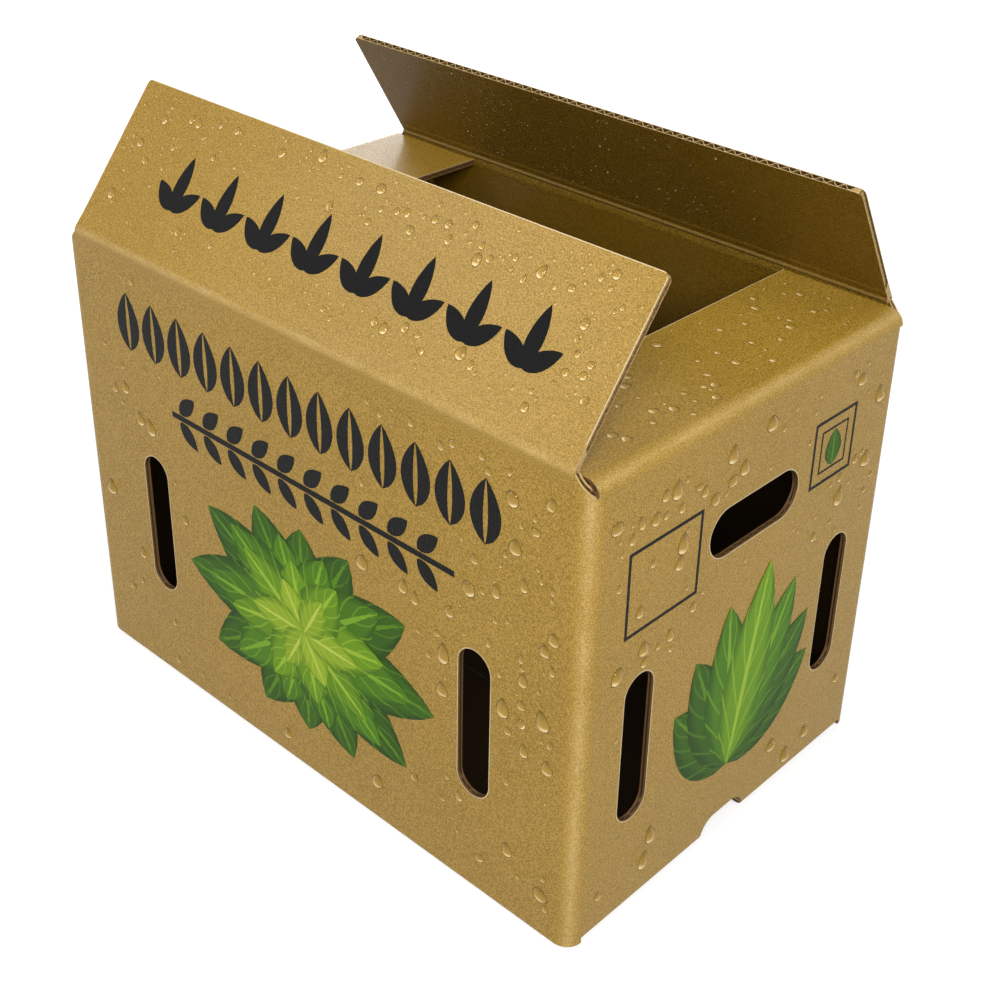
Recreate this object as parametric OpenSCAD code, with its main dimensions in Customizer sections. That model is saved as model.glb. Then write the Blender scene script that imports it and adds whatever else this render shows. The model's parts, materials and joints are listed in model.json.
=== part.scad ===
// Waxed corrugated produce carton, folded from one board blank.
// +X runs along the box, -Y is the front, +Z is up; the origin is the centre of the base.

/* [Box] */
// Outside length of the box, left end to right end
box_length = 450; // [380:1:560]
// Outside width of the box, front to rear
box_width = 292; // [250:1:380]
// Height of the long creases above the floor
box_height = 320; // [280:1:420]
// Thickness of the corrugated board
board = 4; // [3:0.5:6]

/* [Folds] */
// Outside radius of the upright corner folds
corner_fold_r = 11; // [8:0.5:14]
// Outside radius of the folds that carry the end flaps
end_fold_r = 9; // [8:0.5:12]
// Outside radius of the folds round the base
base_fold_r = 4; // [2:0.5:6]
// Radius of the crushed bead that each long flap turns on
crease_r = 0.8; // [0.6:0.1:1.2]
// Play between the bead and the flap that turns on it
crease_play = 0.1; // [0.05:0.05:0.2]
// Angle that the crushed board gives up on each side of the crease, outside
outside_relief = 15; // [10:1:25]
// Angle kept free between the mitred faces of a closed flap
closing_relief = 2; // [1:0.5:4]

/* [Top flaps] */
// Length of the front flap from crease to free edge
front_flap_length = 107; // [80:1:130]
// Length of the rear flap from crease to free edge
rear_flap_length = 95; // [80:1:130]
// Radius of the free corners of the front and rear flaps
flap_corner_r = 4; // [2:0.5:10]
// Length of the end flaps from the outside of the end to the free edge
end_flap = 88; // [70:1:120]
// How far the front flap stands open from closed, in degrees
front_open = 52; // [5:1:120]
// How far the rear flap stands open from closed, in degrees
rear_open = 59; // [5:1:120]
// Gap between a closed long flap and the end flaps under it
closing_gap = 0.5; // [0.3:0.1:1]
// Distance from the face of an end to the sides of the front and rear flaps
corner_slot = 13; // [10:0.5:16]
// Play between the side of a long flap and the sloping corner of its panel
slot_play = 0.5; // [0.3:0.1:1]
// Gap between the side of an end flap and the inside of a long panel
end_flap_gap = 1.5; // [1:0.5:3]
// How far below the long crease the sloping corner of a panel starts
slope_drop = 2; // [1:0.5:6]
// Distance from the face of an end at which the sloping corner runs out
slope_end = 2; // [1:0.5:4]

/* [Flutes] */
// Pitch of the flutes along the board
flute_pitch = 7.8; // [6:0.1:10]
// Thickness of each facing liner
liner = 0.5; // [0.4:0.1:0.8]
// Thickness of the fluted medium
medium = 0.4; // [0.3:0.1:0.6]
// Depth of the open flutes that show in the cut edges
flute_depth = 6; // [3:0.5:8]

/* [Base] */
// Length of the inner base flaps, which fold in from the ends
inner_base_flap = 144; // [110:1:160]
// Gap between the outer base flaps where they meet
base_gap = 1.5; // [1:0.5:4]
// Height of the upright corner folds above the floor
corner_lift = 3; // [2:0.5:4]
// Width of the drain notch under each end
notch_width = 44; // [30:1:60]
// Height of the drain notch above the end's base fold
notch_rise = 13; // [8:1:16]

/* [Vents and hand holes] */
// Length of a vent slot
vent_length = 104; // [70:1:130]
// Width of a vent slot
vent_width = 25; // [15:1:30]
// Centre of the vents above the floor
vent_height = 125; // [100:1:140]
// Centre of the front vents in from each end
long_vent_inset = 78; // [65:1:110]
// Centre of the right end's vents in from the front and rear
end_vent_inset = 49; // [38:1:60]
// Length of a hand hole
hand_length = 85; // [75:1:110]
// Height of a hand hole
hand_height = 32; // [25:1:38]
// Centre of the hand holes below the long crease
hand_drop = 84; // [70:1:110]

/* [Glued seam] */
// Width of the glue tab inside the rear left corner
tab_width = 35; // [25:1:45]
// Height that the glue tab loses at each end, from its fold to its free edge
tab_taper = 20; // [10:1:30]
// Distance of the rear panel's raw edge from the left end's face
seam_setback = 1.5; // [0.5:0.5:4]

/* [Hidden] */
$fn = 64;

half_length = box_length / 2;
half_width = box_width / 2;
// Flat part of the long panels, between the corner folds, and of the ends
long_flat = half_length - corner_fold_r;
end_flat = half_width - corner_fold_r;
// The left end stops one board sooner at the rear, where its tab lies inside the rear panel
seam_flat = end_flat - board;
// Sides of the long flaps, and of the creased strips that carry them
flap_half = half_length - corner_slot;
strip_half = flap_half + slot_play;
// Sides of the end flaps
end_flap_half = half_width - board - end_flap_gap;
// Outside of the end flaps, one board under the closed long flaps
end_crease = box_height - board - closing_gap;
// Upright walls run between the base folds and the end folds
wall_top = end_crease - end_fold_r;
wall_foot = board + max(base_fold_r, board);
// Height of each mitred crease strip above the upright walls
crease_strip = box_height - wall_top;
// The free half of a flute between medium and liner
flute_half = board / 2 - liner;
kraft = [0.70, 0.55, 0.30];
cut = 1;

// A flat plate section drawn in Y and Z, run along X between -half and half
module along_x(half) {
    translate([-half, 0, 0])
        rotate([90, 0, 90])
            linear_extrude(2 * half)
                children();
}

// A flat plate section drawn in X and Z, run along Y from low to high
module along_y(low, high) {
    translate([0, high, 0])
        rotate([90, 0, 0])
            linear_extrude(high - low)
                children();
}

// Slot with round ends, long along X, centred on the origin
module obround(length, width) {
    straight = length - width;
    square([straight, width], center = true);
    for (side = [-1, 1])
        translate([side * straight / 2, 0])
            circle(d = width);
}

// Quarter of a bent board, turned by angle from the -X, -Y quadrant
module fold_arc(outside_r, angle) {
    rotate(angle)
        intersection() {
            difference() {
                circle(outside_r);
                circle(max(outside_r - board, 0.01));
            }
            translate([-outside_r, -outside_r])
                square(outside_r);
        }
}

// The three folded corners, seen from above
module corner_plan() {
    translate([-long_flat, -end_flat]) fold_arc(corner_fold_r, 0);
    translate([long_flat, -end_flat]) fold_arc(corner_fold_r, 90);
    translate([long_flat, end_flat]) fold_arc(corner_fold_r, 180);
}

// The fold of the glue tab, one board inside the rear panel, seen from above
module seam_plan() {
    translate([-long_flat, seam_flat])
        fold_arc(corner_fold_r, 270);
}

// The front and rear panels between the corner folds, seen from above
module long_panel_plan() {
    translate([-long_flat, -half_width])
        square([2 * long_flat, board]);
    translate([-half_length + seam_setback, half_width - board])
        square([half_length - seam_setback + long_flat, board]);
}

// The two ends between the corner folds, seen from above
module end_panel_plan() {
    translate([half_length - board, -end_flat])
        square([board, 2 * end_flat]);
    translate([-half_length, -end_flat])
        square([board, end_flat + seam_flat]);
}

// Sloping corners that the slots leave beside the long creases, seen from the front
module slope_outline() {
    for (side = [-1, 1])
        polygon([
            [side * strip_half, wall_top],
            [side * strip_half, box_height - slope_drop],
            [side * (half_length - slope_end), wall_top],
        ]);
}

// The upright walls, folded round three corners and lapped at the seam
module upright_walls() {
    translate([0, 0, wall_foot])
        linear_extrude(wall_top - wall_foot) {
            long_panel_plan();
            end_panel_plan();
        }
    translate([0, 0, corner_lift])
        linear_extrude(wall_top - corner_lift) {
            corner_plan();
            seam_plan();
        }
    intersection() {
        translate([0, 0, wall_top])
            linear_extrude(crease_strip) {
                corner_plan();
                long_panel_plan();
            }
        along_y(-half_width, half_width)
            slope_outline();
    }
}

// Tab of the left end, tapered from its fold and glued inside the rear panel
module glue_tab() {
    edge = tab_width - long_flat;
    translate([0, half_width - board, 0])
        rotate([90, 0, 0])
            linear_extrude(board)
                polygon([
                    [-long_flat, corner_lift],
                    [edge, corner_lift + tab_taper],
                    [edge, wall_top - tab_taper],
                    [-long_flat, wall_top],
                ]);
}

// Top of a long panel in section, from the outside inwards: the board is
// crushed to a wedge that carries the crease bead
module crease_section() {
    depth = crease_r;
    inside = board - depth;
    mitre = 45 - closing_relief / 2;
    translate([depth, crease_strip - depth]) {
        circle(depth);
        polygon([
            [0, 0],
            [-depth, -depth / tan(outside_relief)],
            [-depth, depth - crease_strip],
            [inside, depth - crease_strip],
            [inside, -inside * tan(90 - mitre)],
        ]);
    }
}

// Creased tops of the front panel and of the rear panel
module long_crease() {
    translate([0, -half_width, wall_top])
        along_x(strip_half)
            crease_section();
}

// Left end flap folded in level, with the fold that carries it, in section
module end_flap_section() {
    translate([end_fold_r - half_length, wall_top])
        fold_arc(end_fold_r, 270);
    translate([end_fold_r - half_length, end_crease - board])
        square([end_flap - end_fold_r, board]);
}

// A base fold in section at the lower left, with its flap running to the right
module base_fold_section(wall, flap) {
    difference() {
        union() {
            square([board, wall]);
            square([flap, board]);
        }
        difference() {
            translate([-cut, -cut])
                square(base_fold_r + cut);
            translate([base_fold_r, base_fold_r])
                circle(base_fold_r);
        }
    }
}

// Outer base flap of the front panel
module outer_base_flap() {
    translate([0, -half_width, 0])
        along_x(long_flat)
            base_fold_section(wall_foot, half_width - base_gap / 2);
}

// End flap and inner base flap of the left end, the base flap as far as rear_edge
module end_flaps(rear_edge) {
    along_y(-end_flap_half, end_flap_half)
        end_flap_section();
    along_y(-end_flat, rear_edge)
        translate([-half_length, board])
            base_fold_section(wall_foot - board, inner_base_flap);
}

// Vent slots through the front panel
module front_vents() {
    for (side = [-1, 1])
        translate([side * (half_length - long_vent_inset), board + cut - half_width, vent_height])
            rotate([90, 90, 0])
                linear_extrude(board + 2 * cut)
                    obround(vent_length, vent_width);
}

// A slot that is long along Y, cut along X through the given depth
module cut_along_x(depth) {
    rotate([90, 0, 90])
        linear_extrude(depth)
            children();
}

// Vent slots through the right end
module right_vents() {
    for (side = [-1, 1])
        translate([half_length - board - cut, side * (half_width - end_vent_inset), vent_height])
            cut_along_x(board + 2 * cut)
                rotate(90)
                    obround(vent_length, vent_width);
}

// Hand hole and drain notch of the right end
module end_openings() {
    translate([half_length - board - cut, 0, box_height - hand_drop])
        cut_along_x(board + 2 * cut)
            obround(hand_length, hand_height);
    // The notch is a slot in the flat blank, centred on the base fold
    translate([half_length - notch_rise, 0, board])
        cut_along_x(notch_rise + cut)
            obround(notch_width, 2 * notch_rise);
}

// The folded blank: walls, end flaps, base flaps and glued seam
module carton() {
    color(kraft)
        difference() {
            union() {
                upright_walls();
                glue_tab();
                for (turn = [0, 1])
                    mirror([0, turn, 0]) {
                        long_crease();
                        outer_base_flap();
                    }
                end_flaps(seam_flat);
                mirror([1, 0, 0])
                    end_flaps(end_flat);
            }
            front_vents();
            right_vents();
            for (turn = [0, 1])
                mirror([turn, 0, 0])
                    end_openings();
        }
}

// Half a flute, the hollow between the medium and one liner
module flute_hollow() {
    steps = 6;
    width = flute_pitch - 2 * medium;
    height = 2 * flute_half - medium;
    polygon([
        for (i = [0:steps])
            [width * (i / steps - 0.5), height * (1 - cos(360 * i / steps)) / 2 - flute_half],
    ]);
}

// Long flap of the given length in section, its crease on the origin, running along +Y
module flap_section(length) {
    depth = crease_r;
    inside = board - depth;
    mitre = 45 - closing_relief / 2;
    difference() {
        polygon([
            [0, 0],
            [depth / tan(outside_relief), depth],
            [length, depth],
            [length, -inside],
            [inside * tan(90 - mitre), -inside],
        ]);
        circle(crease_r + crease_play);
    }
}

// Open flutes along the free edge and the two sides of a flap of the given length
module flap_flutes(length) {
    count = floor((2 * flap_half - flute_pitch) / flute_pitch);
    middle = crease_r - board / 2;
    translate([0, length - flute_depth, middle])
        rotate([-90, 0, 0])
            linear_extrude(flute_depth + cut)
                for (i = [0:count - 1])
                    translate([(i - (count - 1) / 2) * flute_pitch, 0]) {
                        flute_hollow();
                        if (i < count - 1)
                            translate([flute_pitch / 2, 0])
                                mirror([0, 1])
                                    flute_hollow();
                    }
    for (side = [-1, 1])
        translate([side * flap_half, length / 2 + board, middle])
            cube([flute_depth / 2, length, 2 * flute_half], center = true);
}

// What the rounded free corners take off a flap of the given length
module flap_corners(length) {
    for (turn = [0, 1])
        mirror([turn, 0, 0])
            translate([flap_half - flap_corner_r, length - flap_corner_r, -board])
                linear_extrude(2 * board)
                    difference() {
                        square(flap_corner_r + cut);
                        circle(flap_corner_r);
                    }
}

// A flap of the given length, closed over the box with its crease on the X axis
module long_flap_board(length) {
    difference() {
        along_x(flap_half)
            flap_section(length);
        flap_flutes(length);
        flap_corners(length);
    }
}

// Places a flap on the front crease and opens it from closed
module on_front_crease(opened) {
    translate([0, crease_r - half_width, box_height - crease_r])
        rotate([opened, 0, 0])
            children();
}

module front_flap() {
    color(kraft)
        on_front_crease(front_open)
            long_flap_board(front_flap_length);
}

module rear_flap() {
    color(kraft)
        mirror([0, 1, 0])
            on_front_crease(rear_open)
                long_flap_board(rear_flap_length);
}

carton();
front_flap();
rear_flap();
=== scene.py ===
# %% [markdown]
# # A waxed produce box
# The box is one sheet of corrugated board, cut, creased, folded and glued, then
# dipped in wax so that ice and wet leaves can't soften it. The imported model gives
# the exact board; this lesson gives it paper, wax, soft folds, ink and water.
#
# Everything is in metres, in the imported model's own frame: the front panel faces
# -Y, the right end faces +X, and the floor is Z = 0.

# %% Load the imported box
import json
import math
import random
from functools import partial

import bpy
from mathutils import Euler, Matrix, Vector


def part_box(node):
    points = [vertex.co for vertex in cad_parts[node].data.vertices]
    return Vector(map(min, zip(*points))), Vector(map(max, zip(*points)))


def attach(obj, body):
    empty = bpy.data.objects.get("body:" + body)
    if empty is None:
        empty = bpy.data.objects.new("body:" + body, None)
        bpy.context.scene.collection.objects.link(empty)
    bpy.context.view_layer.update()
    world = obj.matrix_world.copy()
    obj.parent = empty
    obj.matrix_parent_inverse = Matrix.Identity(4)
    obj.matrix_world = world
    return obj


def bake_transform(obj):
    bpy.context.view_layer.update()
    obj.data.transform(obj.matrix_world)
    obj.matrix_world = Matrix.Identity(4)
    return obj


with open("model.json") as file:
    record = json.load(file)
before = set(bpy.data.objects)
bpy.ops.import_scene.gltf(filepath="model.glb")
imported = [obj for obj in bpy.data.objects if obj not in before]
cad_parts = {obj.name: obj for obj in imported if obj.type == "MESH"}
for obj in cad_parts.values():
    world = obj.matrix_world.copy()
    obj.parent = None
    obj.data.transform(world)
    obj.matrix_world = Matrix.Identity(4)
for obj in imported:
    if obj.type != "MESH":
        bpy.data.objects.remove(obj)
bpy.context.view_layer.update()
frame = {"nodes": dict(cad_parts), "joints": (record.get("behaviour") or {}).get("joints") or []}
MM = 0.001

# %% [markdown]
# ## Where the camera stands
# The corners of the box in the photograph fix the view: from the front right,
# a little under 30 degrees up, with a normal lens and a slight tilt of the head.

# %% Camera
IMAGE_PX = 1000.0
FOCAL_PX = 1585.6
CENTRE_PX = (546.8, 401.3)
AZIMUTH, ELEVATION, ROLL = math.radians(41.13), math.radians(28.43), math.radians(2.14)

scene = bpy.context.scene
camera_data = bpy.data.cameras.new("camera")
camera = bpy.data.objects.new("camera", camera_data)
scene.collection.objects.link(camera)
camera_data.sensor_width = 36.0
camera_data.lens = FOCAL_PX / IMAGE_PX * camera_data.sensor_width
camera_data.shift_x = 0.5 - CENTRE_PX[0] / IMAGE_PX
camera_data.shift_y = CENTRE_PX[1] / IMAGE_PX - 0.5
camera_data.clip_end = 50
turn = Euler((math.pi / 2 - ELEVATION, 0, AZIMUTH)).to_matrix() @ Matrix.Rotation(ROLL, 3, "Z")
camera.matrix_world = Matrix.Translation((0.634, -0.651, 0.714)) @ turn.to_4x4()
scene.camera = camera
print("lens", round(camera_data.lens, 1), "mm")

# %% [markdown]
# ## Studio light
# The upright fold nearest the camera is the brightest board, and the panels on both
# sides of it are alike, so the main light stands on the camera's side, above it: a
# large soft box that also leaves the inside of the rear flap dark. A weak lamp on
# the left gleams on the front flap, one overhead leaves the end flap dim under the
# leaning rear flap, and one behind lights the sides that the camera doesn't see. The
# world is white where the camera or a reflection sees it, and much dimmer as a lamp.

# %% Lamps
scene.view_settings.view_transform = "Standard"


def soft_lamp(name, place, aim, size, power):
    lamp = bpy.data.lights.new(name, "AREA")
    lamp.shape, lamp.size, lamp.size_y, lamp.energy = "RECTANGLE", size[0], size[1], power
    holder = bpy.data.objects.new(name, lamp)
    scene.collection.objects.link(holder)
    holder.location = place
    holder.rotation_euler = (Vector(aim) - Vector(place)).to_track_quat("-Z", "Y").to_euler()


BOX_MIDDLE = (0, 0, 0.2)
soft_lamp("key", (1.6, -1.45, 1.8), BOX_MIDDLE, (1.6, 1.3), 85)
soft_lamp("left", (-1.5, -1.6, 1.75), (0, -0.1, 0.36), (0.95, 0.65), 10.5)
soft_lamp("top", (0.2, 0.2, 2.4), BOX_MIDDLE, (1.2, 1.2), 7)
soft_lamp("rear", (-1.75, 1.8, 0.65), BOX_MIDDLE, (2.2, 1.0), 42)

# %% World
AMBIENT = 0.2


def set_inputs(tree, node, sources):
    """Links or plain values for a node's inputs, by name or number."""
    for key, source in sources.items():
        if isinstance(source, bpy.types.NodeSocket):
            tree.links.new(source, node.inputs[key])
        else:
            node.inputs[key].default_value = source


def add_node(tree, kind, sources=(), **settings):
    """A new node of that kind with its settings and its inputs."""
    node = tree.nodes.new(kind)
    for name, value in settings.items():
        setattr(node, name, value)
    set_inputs(tree, node, dict(sources))
    return node


def math_node(tree, operation, first, second=0.0):
    return add_node(tree, "ShaderNodeMath", {0: first, 1: second}, operation=operation).outputs[0]


def seen_directly(tree):
    """1 for rays that see a surface straight, mirrored or through water, else 0."""
    path = add_node(tree, "ShaderNodeLightPath").outputs
    total = path["Is Camera Ray"]
    for kind in ("Is Glossy Ray", "Is Transmission Ray"):
        total = math_node(tree, "MAXIMUM", total, path[kind])
    return total


world = bpy.data.worlds.new("studio")
scene.world = world
world.use_nodes = True
sky = world.node_tree
strength = add_node(sky, "ShaderNodeMapRange", {
    "Value": seen_directly(sky), "To Min": AMBIENT, "To Max": 1.0})
set_inputs(sky, sky.nodes["Background"], {"Color": (1, 1, 1, 1), "Strength": strength.outputs[0]})
print("world", world.name, "as a lamp", AMBIENT)

# %% [markdown]
# The floor is pale paper. It takes the shadow of the box, and where it is seen it
# glows a little, more with the distance, so that it runs into the white behind it.

# %% Floor
FLOOR_SIZE, FLOOR_DROP = 30, 0.5 * MM
LIT_GREY, SEEN_GREY = 0.55, 0.42
FLOOR_GLOW = {"From Min": 0.3, "From Max": 1.5, "To Min": 0.62, "To Max": 1.0}


def object_place(tree):
    """The place on the piece, in metres."""
    return add_node(tree, "ShaderNodeTexCoord").outputs["Object"]


def new_material(name):
    """A material, its node tree and its shader."""
    material = bpy.data.materials.new(name)
    material.use_nodes = True
    return material, material.node_tree, material.node_tree.nodes["Principled BSDF"]


def show_either(tree, share, first, second):
    """Shows one shader where share is 0 and another where it is 1."""
    either = add_node(tree, "ShaderNodeMixShader", {0: share, 1: first.outputs[0], 2: second.outputs[0]})
    set_inputs(tree, tree.nodes["Material Output"], {"Surface": either.outputs[0]})


def new_piece(name, add_shape, **sizes):
    """A new piece from one of Blender's own shapes."""
    bpy.ops.object.select_all(action="DESELECT")
    add_shape(**sizes)
    bpy.context.object.name = name
    return bpy.context.object


floor = new_piece("floor", bpy.ops.mesh.primitive_plane_add, size=FLOOR_SIZE, location=(0, 0, -FLOOR_DROP))
floor_paint, paint_tree, lit_floor = new_material("floor_paint")
seen_floor = add_node(paint_tree, "ShaderNodeBsdfPrincipled")
for shader, grey in ((lit_floor, LIT_GREY), (seen_floor, SEEN_GREY)):
    set_inputs(paint_tree, shader, {
        "Base Color": (grey, grey, grey, 1), "Roughness": 0.9, "Specular IOR Level": 0.0})
reach = add_node(paint_tree, "ShaderNodeVectorMath", {0: object_place(paint_tree)}, operation="LENGTH")
glow = add_node(paint_tree, "ShaderNodeMapRange", {"Value": reach.outputs["Value"], **FLOOR_GLOW})
set_inputs(paint_tree, seen_floor, {"Emission Color": (1, 1, 1, 1), "Emission Strength": glow.outputs[0]})
show_either(paint_tree, seen_directly(paint_tree), lit_floor, seen_floor)
floor.data.materials.append(floor_paint)
print("floor", tuple(round(side, 1) for side in floor.dimensions))

# %% [markdown]
# ## Board, wax and grain
# Kraft liner is a mottled golden brown. The wax fills its fibres and sets with a
# fine pebbled skin, so one node group makes the pebbles and the slow mottle of the
# paper, and every finish of the box uses it with its own colours. The gloss is a
# coat over the board: the pebbles tilt the board below, and the wax film on top
# stays smoother, which gives sharp reflections at a flat angle.

# %% Sizes of the box
BOARD = 4.0 * MM
HALF_LENGTH, HALF_WIDTH, CREASE_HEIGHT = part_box("carton")[1]
CORNER_FOLD, END_FOLD = 11 * MM, 9 * MM
END_FLAP_TOP = CREASE_HEIGHT - BOARD - 0.5 * MM
CREASE_BEAD = 0.8 * MM
joints = {joint["name"]: joint for joint in frame["joints"]}
print("half length", HALF_LENGTH, "half width", HALF_WIDTH, "crease", CREASE_HEIGHT)

# %% The pebbled wax group


def new_group(name, inputs, outputs):
    group = bpy.data.node_groups.new(name, "ShaderNodeTree")
    for label, value in inputs.items():
        socket = group.interface.new_socket(label, in_out="INPUT", socket_type="NodeSocketFloat")
        socket.default_value = value
    for label in outputs:
        group.interface.new_socket(label, in_out="OUTPUT", socket_type="NodeSocketFloat")
    return group, group.nodes.new("NodeGroupInput"), group.nodes.new("NodeGroupOutput")


PEBBLES_PER_M, PATCHES_PER_M = 1250.0, 9.0
pebbled_wax, _, wax_out = new_group("pebbled_wax", {}, ["Grain", "Mottle"])
place = object_place(pebbled_wax)
pebbles = add_node(pebbled_wax, "ShaderNodeTexNoise", {
    "Vector": place, "Scale": PEBBLES_PER_M, "Detail": 1.0, "Roughness": 0.5})
patches = add_node(pebbled_wax, "ShaderNodeTexNoise", {
    "Vector": place, "Scale": PATCHES_PER_M, "Detail": 3.0})
set_inputs(pebbled_wax, wax_out, {"Grain": pebbles.outputs["Fac"], "Mottle": patches.outputs["Fac"]})
print("group", pebbled_wax.name, [item.name for item in pebbled_wax.interface.items_tree])

# %% [markdown]
# Every fold gets a painted highlight: a pale line along its middle, where the round
# of the fold catches the light. The next group finds the folds from the place on the
# box: the upright corners, the folds of the end flaps, and the creases of the long
# flaps, each strongest halfway round the bend.

# %% The fold highlight group, a painted highlight
CREASE_LINE = {"From Min": 4.2 * MM, "From Max": 1.3 * MM}
HIGHLIGHT_PATCHES_PER_M = 34.0


def object_axes(tree):
    """The place on the piece as X, Y and Z."""
    return add_node(tree, "ShaderNodeSeparateXYZ", {0: object_place(tree)}).outputs


fold_highlight, _, highlight_out = new_group("fold_highlight", {}, ["Highlight"])
where = object_axes(fold_highlight)
highlight_math = partial(math_node, fold_highlight)


def bend_share(first, second):
    """From 0 where a round fold starts to 1 halfway; each side is an axis, its outside and the radius."""
    reach = []
    for axis, outside, radius in (first, second):
        size = highlight_math("ABSOLUTE", where[axis])
        reach.append(highlight_math("SUBTRACT", size, outside - radius))
    nearest = highlight_math("MINIMUM", *reach)
    halfway = 0.7 * first[2]
    return add_node(fold_highlight, "ShaderNodeMapRange", {"Value": nearest, "From Max": halfway}).outputs[0]


upright = bend_share(("X", HALF_LENGTH, CORNER_FOLD), ("Y", HALF_WIDTH, CORNER_FOLD))
over = bend_share(("X", HALF_LENGTH, END_FOLD), ("Z", END_FLAP_TOP, END_FOLD))
_, crease_y, crease_z = joints["front_crease"]["pos_m"]
from_y = highlight_math("SUBTRACT", highlight_math("ABSOLUTE", where["Y"]), abs(crease_y))
from_z = highlight_math("SUBTRACT", where["Z"], crease_z)
squares = [highlight_math("MULTIPLY", side, side) for side in (from_y, from_z)]
from_crease = highlight_math("SQRT", highlight_math("ADD", *squares))
creased = add_node(fold_highlight, "ShaderNodeMapRange", {"Value": from_crease, **CREASE_LINE}).outputs[0]
# Noise makes the painted highlight patchy along each fold.
highlight_patches = add_node(fold_highlight, "ShaderNodeTexNoise", {
    "Vector": object_place(fold_highlight), "Scale": HIGHLIGHT_PATCHES_PER_M, "Detail": 3.0})
highlit = highlight_math("MAXIMUM", highlight_math("MAXIMUM", upright, over), creased)
highlit = highlight_math("POWER", highlit, 2.0)
patchy = add_node(fold_highlight, "ShaderNodeMapRange", {
    "Value": highlight_patches.outputs["Fac"], "From Min": 0.3, "From Max": 0.65, "To Min": 0.45, "To Max": 1.0})
set_inputs(fold_highlight, highlight_out, {"Highlight": highlight_math("MULTIPLY", highlit, patchy.outputs[0])})
print("group", fold_highlight.name)

# %% [markdown]
# A finish could be painted, but a painted picture fits one size of box only. Here one
# function mixes each finish from the groups: two tones of paper by grain and mottle,
# then a painted highlight along the folds, painted shade that darkens the inside
# towards the bottom, and a painted highlight as a thin bright line along the cuts.

# %% Board finishes
BOARD_ROUGHNESS, WAX_GLOSS = 0.5, 0.24
GRAIN_DEPTH, GRAIN_CONTRAST = 0.55 * MM, 8.0


def blend_colour(tree, share, low, high):
    """A colour that goes from low to high with share."""
    low, high = (tone if isinstance(tone, bpy.types.NodeSocket) else (*tone, 1) for tone in (low, high))
    return add_node(tree, "ShaderNodeMix", {"Factor": share, 6: low, 7: high}, data_type="RGBA").outputs[2]


def waxed(name, coat=0.3):
    """A new material with a wax coat over pebbles, its node tree, its shader and its wax group."""
    material, tree, shader = new_material(name)
    wax = add_node(tree, "ShaderNodeGroup", node_tree=pebbled_wax)
    bump = add_node(tree, "ShaderNodeBump", {
        "Height": wax.outputs["Grain"], "Strength": 1.0, "Distance": GRAIN_DEPTH})
    set_inputs(tree, shader, {
        "Roughness": BOARD_ROUGHNESS, "Specular IOR Level": 0.1, "Coat Weight": coat,
        "Coat Roughness": WAX_GLOSS, "Normal": bump.outputs["Normal"]})
    return material, tree, shader, wax


# Painted shade: the inside of the carton darkens to this tone from the first height down to the second.
DEPTH_SHADE_TONE, DEPTH_SHADE_FROM, DEPTH_SHADE_TO = (0.024, 0.0135, 0.003), 0.295, 0.19
# Painted highlight: a thin pale line of this width along the cut edges, where light catches the edge.
EDGE_HIGHLIGHT_TONE, EDGE_HIGHLIGHT_WIDTH = (0.6, 0.46, 0.27), 0.55 * MM


def board_finish(name, pale, deep, highlight_tone=None, depth_shade=False, rim=None, coat=0.3):
    """Waxed liner, mottled between two tones, with a painted highlight on the folds, painted shade low
    inside and a painted highlight along the cuts.
    """
    material, tree, shader, wax = waxed(name, coat)
    fine = math_node(tree, "MULTIPLY", wax.outputs["Grain"], -GRAIN_CONTRAST)
    share = math_node(tree, "ADD", wax.outputs["Mottle"], fine)
    share = math_node(tree, "ADD", share, GRAIN_CONTRAST / 2)
    colour = blend_colour(tree, share, pale, deep)
    # Painted shade, darker towards the bottom of the inside.
    if depth_shade:
        share_by_place = add_node(tree, "ShaderNodeMapRange", {
            "Value": object_axes(tree)["Z"], "From Min": DEPTH_SHADE_FROM, "From Max": DEPTH_SHADE_TO},
            interpolation_type="SMOOTHSTEP")
        colour = blend_colour(tree, share_by_place.outputs[0], colour, DEPTH_SHADE_TONE)
    # Painted highlight: the folds turn towards the highlight tone, grained like the rest of the board.
    if highlight_tone:
        painted_fold_light = add_node(tree, "ShaderNodeGroup", node_tree=fold_highlight)
        grained_highlight = blend_colour(tree, share, highlight_tone, [part * 0.72 for part in highlight_tone])
        colour = blend_colour(tree, painted_fold_light.outputs["Highlight"], colour, grained_highlight)
    # Painted highlight: a thin pale line along the cut edges.
    if rim:
        colour = blend_colour(tree, rim(tree), colour, EDGE_HIGHLIGHT_TONE)
    set_inputs(tree, shader, {"Base Color": colour})
    return material


# The third outer tone is the painted highlight on the folds.
OUTER_TONES = (0.4, 0.242, 0.041), (0.246, 0.143, 0.01), (0.515, 0.348, 0.115)
outer_liner = board_finish("outer_liner", *OUTER_TONES)
inner_liner = board_finish("inner_liner", (0.195, 0.11, 0.011), (0.108, 0.058, 0.004), coat=0.15)
# Painted shade: the inside of the carton is the same liner as the inside of the flaps, painted darker.
shaded_inside_liner = board_finish("shaded_inside_liner", (0.125, 0.067, 0.004), (0.085, 0.044, 0.002),
                            depth_shade=True, coat=0.15)
bead_liner = board_finish("bead_liner", (0.2, 0.125, 0.03), (0.13, 0.08, 0.018), coat=0.2)
print("finishes", outer_liner.name, inner_liner.name, bead_liner.name)

# %% [markdown]
# ## Cut edges
# Where the board is cut it shows its three sheets: two pale liners and, between
# them, the fluted medium in front of hollows in painted shade. A node group works
# out how deep a point lies under the outside of the box, from the box's own rounded
# outline, and draws the sheets from that depth, so every slot and corner shows the
# same board.

# %% The board section group
LINER = 1.15 * MM
FLUTE_PITCH = 7.8 * MM
HALF_MEDIUM = 0.45 * MM

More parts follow.
